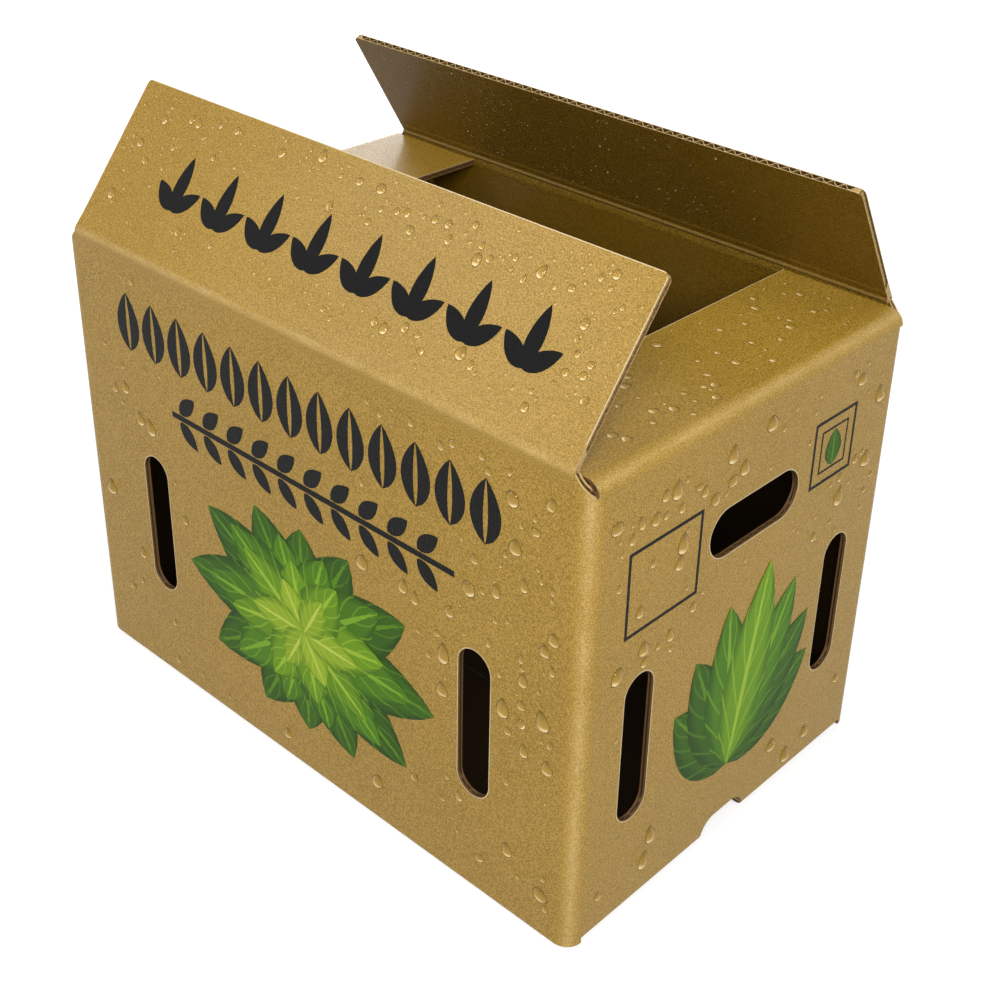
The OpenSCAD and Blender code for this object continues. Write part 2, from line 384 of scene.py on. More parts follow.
board_section, cut_in, cut_out = new_group(
    "board_section", {"Across": 0.0, "Up": 0.0, "Along": 0.0, "Half": 0.1, "Top": 0.1, "Fold": 0.01},
    ["Liner", "Medium"])


def outline_depth(tree, across, up, half, top, fold):
    """Depth under a rectangle's outline with rounded corners, from nodes or plain sizes."""
    calc = partial(math_node, tree)
    reach = []
    for coordinate, size in ((across, half), (up, top)):
        straight = calc("SUBTRACT", size, fold)
        reach.append(calc("SUBTRACT", calc("ABSOLUTE", coordinate), straight))
    past = [calc("MAXIMUM", value, 0.0) for value in reach]
    squares = [calc("MULTIPLY", value, value) for value in past]
    outside = calc("SQRT", calc("ADD", *squares))
    inside = calc("MINIMUM", calc("MAXIMUM", *reach), 0.0)
    return calc("SUBTRACT", fold, calc("ADD", outside, inside))


cut_math = partial(math_node, board_section)
outline = [cut_in.outputs[label] for label in ("Across", "Up", "Half", "Top", "Fold")]
depth = outline_depth(board_section, *outline)
from_middle = cut_math("SUBTRACT", depth, BOARD / 2)
liners = cut_math("GREATER_THAN", cut_math("ABSOLUTE", from_middle), BOARD / 2 - LINER)
phase = cut_math("MULTIPLY", cut_in.outputs["Along"], 2 * math.pi / FLUTE_PITCH)
wave = cut_math("MULTIPLY", cut_math("SINE", phase), BOARD / 2 - LINER)
off_wave = cut_math("ABSOLUTE", cut_math("SUBTRACT", from_middle, wave))
medium_sheet = cut_math("LESS_THAN", off_wave, HALF_MEDIUM)
set_inputs(board_section, cut_out, {"Liner": liners, "Medium": medium_sheet})
print("group", board_section.name)

# %% Cut-edge finishes
# The third colour is painted shade: the dark of the hollows between the flutes, on a flat cut face.
CUT_LINER, CUT_MEDIUM, HOLLOW_SHADE = (0.46, 0.31, 0.12), (0.11, 0.06, 0.02), (0.03, 0.017, 0.006)
SHADED_LINER = (0.13, 0.068, 0.027)


def cut_finish(name, up_axis, half, top, fold, liner=CUT_LINER):
    """The three sheets of the cut board, for walls (up_axis Y) or end flaps (up_axis Z)."""
    material, tree, shader, _ = waxed(name)
    axes = object_axes(tree)
    section = add_node(tree, "ShaderNodeGroup", {
        "Across": axes["X"], "Up": axes[up_axis], "Along": math_node(tree, "ADD", axes["X"], axes["Y"]),
        "Half": half, "Top": top, "Fold": fold}, node_tree=board_section)
    core = blend_colour(tree, section.outputs["Medium"], HOLLOW_SHADE, CUT_MEDIUM)
    set_inputs(tree, shader, {"Base Color": blend_colour(tree, section.outputs["Liner"], core, liner)})
    return material


cut_wall = cut_finish("cut_wall", "Y", HALF_LENGTH, HALF_WIDTH, CORNER_FOLD)
cut_hole = cut_finish("cut_hole", "Y", HALF_LENGTH, HALF_WIDTH, CORNER_FOLD, liner=SHADED_LINER)
cut_flap = cut_finish("cut_flap", "Z", HALF_LENGTH, END_FLAP_TOP, END_FOLD, liner=SHADED_LINER)
cut_liner = board_finish("cut_liner", (0.5, 0.35, 0.15), (0.34, 0.22, 0.08))
flute_core = board_finish("flute_core", (0.2, 0.12, 0.045), (0.1, 0.06, 0.02), coat=0.0)
print("cut edges", cut_wall.name, cut_flap.name)

# %% [markdown]
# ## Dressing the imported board
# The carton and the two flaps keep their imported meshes. Each face only gets the
# finish of the sheet it belongs to: the outer liner, the inner liner, or a cut.

# %% Faces of the carton


def depth_under(across, up, half, top, fold):
    """Depth of a point under a rounded outline, and the way to the outside there."""
    past = Vector((abs(across) - (half - fold), abs(up) - (top - fold)))
    if past.x > 0 and past.y > 0:
        away = past.normalized()
        return fold - past.length, Vector((math.copysign(away.x, across), math.copysign(away.y, up)))
    if past.x > past.y:
        return fold - past.x, Vector((math.copysign(1, across), 0))
    return fold - past.y, Vector((0, math.copysign(1, up)))


END_FLAP_HALF, END_FLAP_EDGE = 140.6 * MM, 137 * MM
HOLES_BELOW = 270 * MM


def carton_face(middle, normal):
    """Number of the finish for a face: 0 outside, 1 inside, 2 a cut wall, 3 a cut flap, 4 a hole."""
    cut_band = (0.15 * BOARD, 0.85 * BOARD)
    sloped = abs(normal.y) < 0.2 and 0.3 < normal.z < 0.95
    if sloped and abs(middle.y) > END_FLAP_HALF and middle.z > CREASE_HEIGHT - 20 * MM:
        return 2
    deep, away = depth_under(middle.x, middle.y, HALF_LENGTH, HALF_WIDTH, CORNER_FOLD)
    if cut_band[0] < deep < cut_band[1] and abs(normal.xy @ away) < 0.3 and middle.z > 2 * BOARD:
        return 4 if middle.z < HOLES_BELOW else 2
    deep, away = depth_under(middle.x, middle.z, HALF_LENGTH, END_FLAP_TOP, END_FOLD)
    if cut_band[0] < deep < cut_band[1] and abs(Vector((normal.x, normal.z)) @ away) < 0.3:
        return 3
    return 1 if normal @ (Vector((0, 0, CREASE_HEIGHT / 2)) - middle) > 0 else 0


def dress(node, finishes, choose):
    """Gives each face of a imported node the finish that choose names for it."""
    mesh = frame["nodes"][node].data
    mesh.materials.clear()
    for finish in finishes:
        mesh.materials.append(finish)
    counts = [0] * len(finishes)
    for face in mesh.polygons:
        face.material_index = choose(face.center, face.normal)
        counts[face.material_index] += 1
    print(node, {finish.name: count for finish, count in zip(finishes, counts)})


# Each kind of hole: the axis along its panel, its middle in mm (the same on both sides
# of 0), its size in mm, and the axis and sides of the panels that have it.
VENT, HAND = (25, 104), (85, 32)
FRONT_VENT, END_VENT, HAND_HOLE = (147, 125), (97, 125), (0, 236)
HOLES = (("X", FRONT_VENT, VENT, "Y", (-1,)), ("Y", END_VENT, VENT, "X", (1,)),
         ("Y", HAND_HOLE, HAND, "X", (-1, 1)))
SKIN = 0.3 * MM


def carton_edge_highlight(tree):
    """1 on a thin line round the holes and along the end flaps' inner edges, for a painted highlight, else
    0.
    """
    axes, calc = object_axes(tree), partial(math_node, tree)
    close = calc("LESS_THAN", calc("ABSOLUTE", axes["X"]), END_FLAP_EDGE + EDGE_HIGHLIGHT_WIDTH)
    beside = calc("LESS_THAN", calc("ABSOLUTE", axes["Y"]), END_FLAP_HALF)
    on_top = calc("GREATER_THAN", axes["Z"], END_FLAP_TOP - SKIN)
    rim = calc("MULTIPLY", calc("MULTIPLY", close, beside), on_top)
    for axis, (across, up), size, panel_axis, sides in HOLES:
        half, top = size[0] / 2 * MM, size[1] / 2 * MM
        from_across = calc("SUBTRACT", calc("ABSOLUTE", axes[axis]), across * MM)
        from_up = calc("SUBTRACT", axes["Z"], up * MM)
        depth = outline_depth(tree, from_across, from_up, half, top, min(half, top))
        ring = calc("GREATER_THAN", depth, -EDGE_HIGHLIGHT_WIDTH)
        panel = HALF_WIDTH if panel_axis == "Y" else HALF_LENGTH
        for side in sides:
            out = calc("MULTIPLY", axes[panel_axis], side)
            on_panel = calc("GREATER_THAN", out, panel - SKIN)
            rim = calc("MAXIMUM", rim, calc("MULTIPLY", ring, on_panel))
    return rim


carton_liner = board_finish("carton_liner", *OUTER_TONES, rim=carton_edge_highlight)
dress("carton", [carton_liner, shaded_inside_liner, cut_wall, cut_flap, cut_hole], carton_face)

# %% Faces of the flaps


class Flap:
    """Where a long flap lies: its crease, the way along it and the way out of it."""

    def __init__(self, joint_name, side):
        joint = joints[joint_name]
        opened = math.radians(-joint["range_deg"][0])
        self.body = joint["child"]
        self.side = side
        self.pivot = Vector(joint["pos_m"])
        self.along = Vector((0, -side * math.cos(opened), math.sin(opened)))
        self.out = Vector((0, side * math.sin(opened), math.cos(opened)))
        corners = [vertex.co for vertex in frame["nodes"][self.body].data.vertices]
        self.length = max((corner - self.pivot) @ self.along for corner in corners)
        self.half = max(corner.x for corner in corners)

    def rim(self, tree):
        """1 on a thin line along the three cut edges, for a painted highlight, else 0."""
        from_crease = add_node(tree, "ShaderNodeVectorMath", {
            0: object_place(tree), 1: self.pivot}, operation="SUBTRACT").outputs[0]
        reach = add_node(tree, "ShaderNodeVectorMath", {
            0: from_crease, 1: self.along}, operation="DOT_PRODUCT")
        past_end = math_node(tree, "GREATER_THAN", reach.outputs["Value"], self.length - EDGE_HIGHLIGHT_WIDTH)
        wide = math_node(tree, "ABSOLUTE", object_axes(tree)["X"])
        return math_node(tree, "MAXIMUM", past_end, math_node(tree, "GREATER_THAN", wide, self.half - EDGE_HIGHLIGHT_WIDTH))

    def face(self, middle, normal):
        """0 outer liner, 1 inner liner, 2 cut liner, 3 the fluted core."""
        facing = normal @ self.out
        if abs(facing) > 0.6:
            height = (middle - self.pivot) @ self.out
            within = CREASE_BEAD - BOARD + 0.2 * MM < height < CREASE_BEAD - 0.2 * MM
            reach = (middle - self.pivot) @ self.along
            if within and reach > BOARD:
                return 3
            return 0 if facing > 0 else 1
        return 2 if abs(normal @ self.along) > 0.9 or abs(normal.x) > 0.9 else 3


FRONT = Flap("front_crease", -1)
REAR = Flap("rear_crease", 1)
for flap in (FRONT, REAR):
    flap_liner = board_finish(flap.body + "_liner", *OUTER_TONES, rim=flap.rim)
    dress(flap.body, [flap_liner, inner_liner, cut_liner, flute_core], flap.face)

# %% [markdown]
# ## Creases of the long flaps
# A crease crushes the flutes along a line. Outside, the liner stretches over a soft
# round; inside, the spare liner buckles into a bead between two furrows. The packed
# board is mitred there so that it can turn. Each cover is one closed section, drawn
# point by point from a circle and extruded along the crease.

# %% The section of a crease
COVER_REACH, COVER_LIFT, COVER_GAP, OUTER_ROUND = 14 * MM, 0.45 * MM, 0.02 * MM, 6 * MM
BEAD_SHAPE = ((1.75, 3.75), (1.2, 4.1), (0.6, 4.7))
BEAD_TOP = 4.9
INNER_REACH = ((8.0, 0.05), (5.0, 0.05), (3.2, 0.05), (2.3, 0.03))


def crease_axes(flap):
    """Down the panel, out of the panel, the middle way out, and across the crease to the flap."""
    down, panel_out = Vector((0, 0, -1)), Vector((0, flap.side, 0))
    middle_out = (panel_out + flap.out).normalized()
    return down, panel_out, middle_out, (flap.along - down).normalized()


def cover_height(reach, start):
    """How far the outer liner stands off the board at a distance from the crease."""
    share = min(max((reach - start) / (COVER_REACH - start), 0), 1)
    return COVER_GAP + (COVER_LIFT - COVER_GAP) * (1 - share) ** 2 * (1 + 2 * share)


def crease_section(flap):
    """Points around the crease, from the panel's outside over the flap and back inside."""
    down, panel_out, middle_out, across = crease_axes(flap)
    half_turn = math.acos(panel_out @ flap.out) / 2
    offset = CREASE_BEAD + COVER_LIFT
    start = (OUTER_ROUND - offset) * math.tan(half_turn)
    reaches = [COVER_REACH, 11 * MM, 8.5 * MM, 6.5 * MM, 4.5 * MM, 3 * MM]
    points = [flap.pivot + down * s + panel_out * (CREASE_BEAD + cover_height(s, start)) for s in reaches]
    hub = flap.pivot + middle_out * (offset - OUTER_ROUND) / math.cos(half_turn)
    for step in range(-3, 4):
        angle = half_turn * step / 3
        points.append(hub + OUTER_ROUND * (middle_out * math.cos(angle) + across * math.sin(angle)))
    points += [flap.pivot + flap.along * s + flap.out * (CREASE_BEAD + cover_height(s, start))
               for s in reversed(reaches)]
    inner_face = (BOARD - CREASE_BEAD) / MM
    inside = [(q, inner_face / math.cos(half_turn) + q * math.tan(half_turn) + lift)
              for q, lift in INNER_REACH]
    inside += BEAD_SHAPE
    inside = inside + [(0.0, BEAD_TOP)] + [(-q, k) for q, k in reversed(inside)]
    return points + [flap.pivot + across * q * MM - middle_out * k * MM for q, k in inside]


print("crease section", len(crease_section(FRONT)), "points")

# %% Model the two crease covers
COVER_STEPS, COVER_INSET, RIGID_REACH = 36, 0.1 * MM, 3 * MM


def edit_only(piece):
    """Selects one piece and starts editing it with all of it selected."""
    bpy.ops.object.select_all(action="DESELECT")
    piece.select_set(True)
    bpy.context.view_layer.objects.active = piece
    bpy.ops.object.mode_set(mode="EDIT")
    bpy.ops.mesh.select_all(action="SELECT")


def crease_cover(name, flap):
    points = crease_section(flap)
    half = flap.half - COVER_INSET
    cover = new_piece(name, bpy.ops.mesh.primitive_circle_add,
                      vertices=len(points), radius=COVER_REACH, fill_type="NGON")
    for vertex, point in zip(cover.data.vertices, points):
        vertex.co = (-half, point.y, point.z)
    edit_only(cover)
    for step in range(COVER_STEPS):
        bpy.ops.mesh.extrude_region_move(
            TRANSFORM_OT_translate={"value": (2 * half / COVER_STEPS, 0, 0)})
    bpy.ops.mesh.select_all(action="SELECT")
    bpy.ops.mesh.normals_make_consistent(inside=False)
    bpy.ops.object.mode_set(mode="OBJECT")
    for finish in (outer_liner, inner_liner, cut_liner, bead_liner):
        cover.data.materials.append(finish)
    down, panel_out, _, across = crease_axes(flap)
    for face in cover.data.polygons:
        from_pivot = face.center - flap.pivot
        outside = max(from_pivot @ panel_out, from_pivot @ flap.out) > 0
        on_bead = abs(from_pivot @ across) < BEAD_SHAPE[1][0] * MM
        face.material_index = 2 if abs(face.normal.x) > 0.9 else 0 if outside else 3 if on_bead else 1
    bpy.ops.object.shade_smooth_by_angle(angle=math.radians(50))
    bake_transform(cover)
    print(name, len(cover.data.polygons), "faces")


crease_cover("front_crease_cover", FRONT)
crease_cover("rear_crease_cover", REAR)

# %% [markdown]
# ## Printed leaves
# The box is printed before it is waxed, in one dark ink and a few greens, with plain
# leaves for salad. Ink has hardly any thickness, but a separate thin plate keeps its
# edge crisp from any distance. One leaf is modelled as a grid whose rows are drawn in
# to points, and every ornament is copies of it, laid out flat and then put on its
# panel by that panel's own frame.

# %% Frames of the panels


def panel_frame(origin, right, up=(0, 0, 1)):
    """Matrix that takes a flat layout, x to the right and y up, onto a panel."""
    right, up = Vector(right), Vector(up)
    frame_rows = Matrix((right, up, right.cross(up))).transposed().to_4x4()
    return Matrix.Translation(origin) @ frame_rows


PANELS = {
    "front": panel_frame((0, -HALF_WIDTH, 0), (1, 0, 0)),
    "right": panel_frame((HALF_LENGTH, 0, 0), (0, 1, 0)),
    "rear": panel_frame((0, HALF_WIDTH, 0), (-1, 0, 0)),
    "left": panel_frame((-HALF_LENGTH, 0, 0), (0, -1, 0)),
    "top": panel_frame((0, 0, END_FLAP_TOP), (1, 0, 0), (0, 1, 0)),
    "front_flap": panel_frame(FRONT.pivot + FRONT.out * CREASE_BEAD, (1, 0, 0), FRONT.along),
    "rear_flap": panel_frame(REAR.pivot + REAR.out * CREASE_BEAD, (-1, 0, 0), REAR.along),
    "rear_flap_inside": panel_frame(
        REAR.pivot + REAR.out * (CREASE_BEAD - BOARD), (1, 0, 0), REAR.along),
}
print("panels", sorted(PANELS))

# %% Inks
INK_FILM, INK_GAP = 0.08 * MM, 0.01 * MM


def leaf_ink(name, body, vein, rim):
    """Waxed ink for leaves: a body colour that varies by leaf, with veins and a darker rim."""
    material, tree, shader, wax = waxed(name, coat=0.04)
    calc = partial(math_node, tree)
    across, along, _ = add_node(tree, "ShaderNodeSeparateXYZ", {
        0: add_node(tree, "ShaderNodeTexCoord").outputs["UV"]}).outputs
    from_rib = calc("ABSOLUTE", calc("SUBTRACT", across, 0.5))
    swept = calc("SUBTRACT", along, calc("MULTIPLY", from_rib, 0.7))
    beat = calc("SINE", calc("MULTIPLY", swept, 2 * math.pi * 5))
    side_veins = calc("GREATER_THAN", beat, 0.9)
    rib = calc("LESS_THAN", from_rib, 0.045)
    veins = calc("MAXIMUM", rib, calc("MULTIPLY", side_veins, 0.5))
    edge = add_node(tree, "ShaderNodeMapRange", {"Value": from_rib, "From Min": 0.3, "From Max": 0.5})
    tone = add_node(tree, "ShaderNodeAttribute", attribute_name="tone").outputs["Fac"]
    shade = calc("ADD", edge.outputs[0], tone)
    shade = calc("ADD", shade, calc("MULTIPLY", wax.outputs["Grain"], 0.5))
    shade = calc("SUBTRACT", shade, 0.25)
    leaf_colour = blend_colour(tree, shade, body, rim)
    set_inputs(tree, shader, {"Base Color": blend_colour(tree, veins, leaf_colour, vein)})
    return material


dark_ink = board_finish("dark_ink", (0.005, 0.005, 0.005), (0.002, 0.002, 0.002), coat=0.0)
green_inks = [leaf_ink("deep_green", (0.034, 0.105, 0.002), (0.085, 0.2, 0.006), (0.014, 0.048, 0.001)),
              leaf_ink("mid_green", (0.068, 0.19, 0.003), (0.17, 0.33, 0.015), (0.026, 0.085, 0.001)),
              leaf_ink("light_green", (0.14, 0.29, 0.006), (0.28, 0.43, 0.03), (0.055, 0.145, 0.002)),
              leaf_ink("heart_green", (0.28, 0.41, 0.018), (0.43, 0.52, 0.07), (0.13, 0.24, 0.005))]
print("inks", [ink.name for ink in green_inks + [dark_ink]])

# %% One leaf, modelled once


def leaf_outline(share):
    """Half width of a plain leaf at a share of its length, from stem to tip."""
    return math.sin(math.pi * share ** 0.85) ** 0.8 if 0 < share < 1 else 0.0


def edit_faces(piece, chosen):
    """Starts editing one piece with only the chosen faces selected."""
    edit_only(piece)
    bpy.ops.mesh.select_all(action="DESELECT")
    bpy.ops.object.mode_set(mode="OBJECT")
    for face in piece.data.polygons:
        face.select = chosen(face)
    bpy.ops.object.mode_set(mode="EDIT")


def plain_leaf(name, split=0.0):
    """A flat leaf of length 1 and width 1, with a gap along its rib where split is given."""
    leaf = new_piece(name, bpy.ops.mesh.primitive_grid_add, x_subdivisions=6, y_subdivisions=12, size=1)
    if split:
        edit_faces(leaf, lambda face: abs(face.center.x) < 1 / 6)
        bpy.ops.mesh.delete(type="FACE")
        bpy.ops.object.mode_set(mode="OBJECT")
    for vertex in leaf.data.vertices:
        share = vertex.co.y + 0.5
        side = 2 * vertex.co.x
        if split:
            side = math.copysign(split + (abs(side) - 1 / 3) * 1.5 * (1 - split), side)
        vertex.co = (side * leaf_outline(share) / 2, share, 0)
    edit_only(leaf)
    bpy.ops.mesh.remove_doubles(threshold=1e-4)
    bpy.ops.object.mode_set(mode="OBJECT")
    return leaf


leaf_pattern = plain_leaf("leaf_pattern")
split_pattern = plain_leaf("split_pattern", split=0.16)
print("leaf", len(leaf_pattern.data.polygons), "faces, split leaf", len(split_pattern.data.polygons))

# %% [markdown]
# A layout is easiest to read flat and in millimetres. Each copy gets its own mesh, is
# laid out there, and the joined ornament is thickened by a Solidify modifier before
# its panel's frame carries it onto the box.

# %% Copies laid on a panel


def own_copy(pattern):
    """A copy of a pattern with its own mesh."""
    piece = pattern.copy()
    piece.data = pattern.data.copy()
    scene.collection.objects.link(piece)
    return piece


def join_copies(name, copies):
    """One piece of that name from all the copies."""
    bpy.ops.object.select_all(action="DESELECT")
    for piece in copies:
        piece.select_set(True)
    bpy.context.view_layer.objects.active = copies[0]
    if len(copies) > 1:
        bpy.ops.object.join()
    copies[0].name = copies[0].data.name = name
    return copies[0]


def laid_leaf(pattern, place, angle, length, width, finish, lift=0.0, tone=0.3):
    """A leaf on the flat, its stem at place and turned left by angle, in mm and degrees."""
    leaf = own_copy(pattern)
    spread = Matrix.Diagonal((width * MM, length * MM, 1, 1))
    where = Vector((place[0] * MM, place[1] * MM, lift * MM))
    leaf.data.transform(Matrix.Translation(where) @ Matrix.Rotation(math.radians(angle), 4, "Z") @ spread)
    leaf.data.materials.append(finish)
    tones = leaf.data.attributes.new("tone", "FLOAT", "POINT")
    for value in tones.data:
        value.value = tone
    return leaf


def print_on(name, copies, panel, body):
    """Joins flat copies, gives the ink its film and puts it on a panel, where it rides on a body."""
    piece = join_copies(name, copies)
    film = piece.modifiers.new("film", "SOLIDIFY")
    film.thickness, film.offset = INK_FILM, 1
    bpy.ops.object.modifier_apply(modifier=film.name)
    piece.data.transform(PANELS[panel] @ Matrix.Translation((0, 0, INK_GAP)))
    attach(piece, body)
    print(name, len(piece.data.polygons), "faces")


def bar(low, high, finish):
    """A flat printed bar between two corners, in mm."""
    piece = new_piece("bar", bpy.ops.mesh.primitive_plane_add, size=1)
    size = (Vector(high) - Vector(low)) * MM
    middle = (Vector(high) + Vector(low)) / 2 * MM
    piece.data.transform(Matrix.Translation((*middle, 0)) @ Matrix.Diagonal((*size, 1, 1)))
    piece.data.materials.append(finish)
    return piece


def ruled_frame(low, high, line, finish):
    """A printed rectangle's outline: a plane, inset, with its middle taken out."""
    piece = bar(low, high, finish)
    edit_only(piece)
    bpy.ops.mesh.inset(thickness=line * MM)
    bpy.ops.mesh.delete(type="FACE")
    bpy.ops.object.mode_set(mode="OBJECT")
    return piece


# %% Ornaments of the front panel
ROW = [(-162 + 26.3 * i, 250) for i in range(13)]
row = [laid_leaf(split_pattern, foot, 0, 41, 23, dark_ink) for foot in ROW]
print_on("front_leaf_row", row, "front", "carton")

STEM = ((-122, 218), (131, 222))
garland = [bar(*STEM, dark_ink)]
for i in range(10):
    for side in (1, -1):
        foot = (-114 + 24 * i, 220 + side * 3.2)
        garland.append(laid_leaf(leaf_pattern, foot, -90 + side * 42, 22, 11, dark_ink, lift=0.015))
print_on("front_garland", garland, "front", "carton")

# Each ring of the rosette: leaves, shift of the first, their length and width in mm, and their ink.
ROSETTE_MIDDLE = (0, 112)
ROSETTE = ((12, 0, 77, 50, 0), (10, 0.5, 64, 46, 1), (8, 0.25, 50, 38, 2), (6, 0.5, 33, 26, 3))
rosette = []
for ring, (count, shift, length, width, ink) in enumerate(ROSETTE):
    for i in range(count):
        turn_left = 360 * (i + shift) / count
        stretch = 1 + 0.5 * math.sin(math.radians(turn_left)) ** 2
        lift, tone = 0.13 * ring + 0.004 * i, 0.15 + 0.3 * (i % 3) / 2
        rosette.append(laid_leaf(leaf_pattern, ROSETTE_MIDDLE, turn_left, length * stretch, width,
                                 green_inks[ink], lift, tone))
print_on("front_rosette", rosette, "front", "carton")

# %% Ornaments of the front flap and the right end
SPRIGS = [(-138 + 42 * i, 35) for i in range(8)]
SPRIG = ((0, 36), (52, 25), (-52, 25))
flap_row = [laid_leaf(leaf_pattern, foot, lean, length, 11, dark_ink, lift=0.015 * n)
            for foot in SPRIGS for n, (lean, length) in enumerate(SPRIG)]
print_on("flap_leaf_row", flap_row, "front_flap", "front_flap")

BLANK_LOW, BLANK_HIGH = (-114, 207), (-51, 262)
print_on("end_blank_frame", [ruled_frame(BLANK_LOW, BLANK_HIGH, 2.2, dark_ink)], "right", "carton")
double = [ruled_frame((55, 226), (99, 271), 2.2, dark_ink),
          ruled_frame((63, 234), (91, 263), 1.4, dark_ink)]
print_on("end_double_square", double, "right", "carton")
square_leaf = laid_leaf(leaf_pattern, (77, 236), 0, 25, 17, green_inks[0], lift=0.02)
print_on("end_square_leaf", [square_leaf], "right", "carton")

# Each leaf of the fan: how far it leans to the left, in degrees, and its ink.
FAN = ((-50, 0), (50, 0), (-33, 0), (33, 0), (-16, 1), (16, 1), (0, 2))
FAN_FOOT, FAN_LEAN, FAN_LENGTH, FAN_WIDTH = (-2, 54), -10, 142, 46
fan = [laid_leaf(leaf_pattern, FAN_FOOT, lean + FAN_LEAN, FAN_LENGTH - abs(lean), FAN_WIDTH, green_inks[ink],
                 lift=0.05 * n, tone=0.2 + 0.1 * (n % 2)) for n, (lean, ink) in enumerate(FAN)]
print_on("end_leaf_fan", fan, "right", "carton")
for pattern in (leaf_pattern, split_pattern):
    bpy.data.objects.remove(pattern)

# %% [markdown]
# ## Water
# Wet salad and ice leave the waxed board covered with beads: wax won't let water
# spread, so each drop stands as a clear dome. On upright panels the larger ones have
# begun to run, with the weight at the bottom. The cap of a sphere gives one round
# bead, the same bead drawn out gives one running drop, and seeded darts lay copies
# over each panel, closer where the box is wettest.
#
# A drop gathers light at its low side. Tracing that through hundreds of tiny lenses
# is slow and leaves specks, so the water lets lamp light straight through, and the
# base of each bead is the board as it looks under water: smooth, and brighter
# towards the low side. The light it gathers is missing around it, so a thin dim
# brim lies on the board around its edge.

# %% Clear water
water, water_tree, water_shader = new_material("water")
set_inputs(water_tree, water_shader, {
    "Base Color": (1, 1, 1, 1), "IOR": 1.33, "Transmission Weight": 1.0, "Roughness": 0.0})
water_path = add_node(water_tree, "ShaderNodeLightPath").outputs
lamp_rays = math_node(water_tree, "MAXIMUM", water_path["Is Shadow Ray"], water_path["Is Diffuse Ray"])
show_either(water_tree, lamp_rays, water_shader, add_node(water_tree, "ShaderNodeBsdfTransparent"))
print("water", water_shader.inputs["IOR"].default_value)

# %% The board seen through a bead
LIGHT_UNDER_WATER = ((0.34, 1.15), (0.6, 1.0), (0.85, 0.75), (1.0, 0.5))


def bead_bed(name, board, gleam):
    """Smooth wet board under a bead, from the gleam at its low side to its dim high side."""
    material, tree, shader = new_material(name)
    rise = add_node(tree, "ShaderNodeAttribute", attribute_name="rise").outputs["Fac"]
    gathered = add_node(tree, "ShaderNodeValToRGB", {0: rise})
    stops = gathered.color_ramp.elements
    tones = [(0.0, gleam), (0.14, gleam)]
    tones += [(share, [part * light for part in board]) for share, light in LIGHT_UNDER_WATER]
    while len(stops) < len(tones):
        stops.new(0.5)
    for stop, (share, tone) in zip(stops, tones):
        stop.position = share
        stop.color = (*tone, 1)
    set_inputs(tree, shader, {
        "Base Color": gathered.outputs["Color"], "Roughness": 0.7, "Specular IOR Level": 0.0})
    return material


outer_bed = bead_bed("outer_bed", (0.34, 0.205, 0.032), gleam=(0.82, 0.64, 0.34))
inner_bed = bead_bed("inner_bed", (0.15, 0.085, 0.01), gleam=(0.9, 0.74, 0.42))
bead_shade = board_finish("bead_shade", (0.185, 0.107, 0.012), (0.14, 0.08, 0.007), coat=0.1)
print("beds", outer_bed.name, inner_bed.name)

# %% One round bead and one running drop
CONTACT_ANGLE = math.radians(52)
BRIM_RADIUS, BRIM_HEIGHT = 1.14, 0.012
DROP_STRETCH = 1.55


def round_bead(name):
    """A cap of a sphere on a circle of radius 1, and a slightly wider flat brim closed by the base."""
    bead = new_piece(name, bpy.ops.mesh.primitive_uv_sphere_add, segments=12, ring_count=9, radius=1)
    edit_only(bead)
    cut = math.cos(CONTACT_ANGLE)
    bpy.ops.mesh.bisect(plane_co=(0, 0, cut), plane_no=(0, 0, 1), use_fill=True, clear_inner=True)
    bpy.ops.mesh.select_all(action="SELECT")
    bpy.ops.mesh.normals_make_consistent(inside=False)
    bpy.ops.object.mode_set(mode="OBJECT")
    raised = Matrix.Translation((0, 0, BRIM_HEIGHT)) @ Matrix.Scale(1 / math.sin(CONTACT_ANGLE), 4)
    bead.data.transform(raised @ Matrix.Translation((0, 0, -cut)))
    edit_faces(bead, lambda face: face.normal.z < -0.9)
    bpy.ops.mesh.extrude_region_move(TRANSFORM_OT_translate={"value": (0, 0, -BRIM_HEIGHT)})
    bpy.ops.transform.resize(value=(BRIM_RADIUS, BRIM_RADIUS, 1))
    bpy.ops.object.mode_set(mode="OBJECT")
    for face in bead.data.polygons:
        face.material_index = 1 if face.normal.z < -0.9 else 2 if face.center.z < BRIM_HEIGHT else 0
    bpy.ops.object.shade_smooth_by_angle(angle=math.radians(35))
    print(name, len(bead.data.polygons), "faces")
    return bead


bead_pattern = round_bead("bead_pattern")
drop_pattern = round_bead("drop_pattern")
for vertex in drop_pattern.data.vertices:
    upper = max(vertex.co.y, 0)
    vertex.co.x *= 1 - 0.38 * upper ** 1.5
    vertex.co.z *= 1 - 0.35 * upper
    vertex.co.y *= DROP_STRETCH if upper else 1.0
print("drop", DROP_STRETCH, "times as high above its middle")

# %% [markdown]
# Drops never lie in rows, and a grid of them would show. Darts with a seed give the
# same loose scatter each run: a dart is dropped where it misses the wet parts, lands
# on a hole or on ink, or touches a bead that is already there.

# %% Darts over a panel
TRIES, ZONE_GAP, BEAD_GAP = 40, 2, 0.03 * MM


def dry_zone(middle, size):
    """A rectangle that beads keep clear of, in mm: its low and high corners."""
    (x, y), (wide, high) = middle, size
    return x - wide / 2, y - high / 2, x + wide / 2, y + high / 2


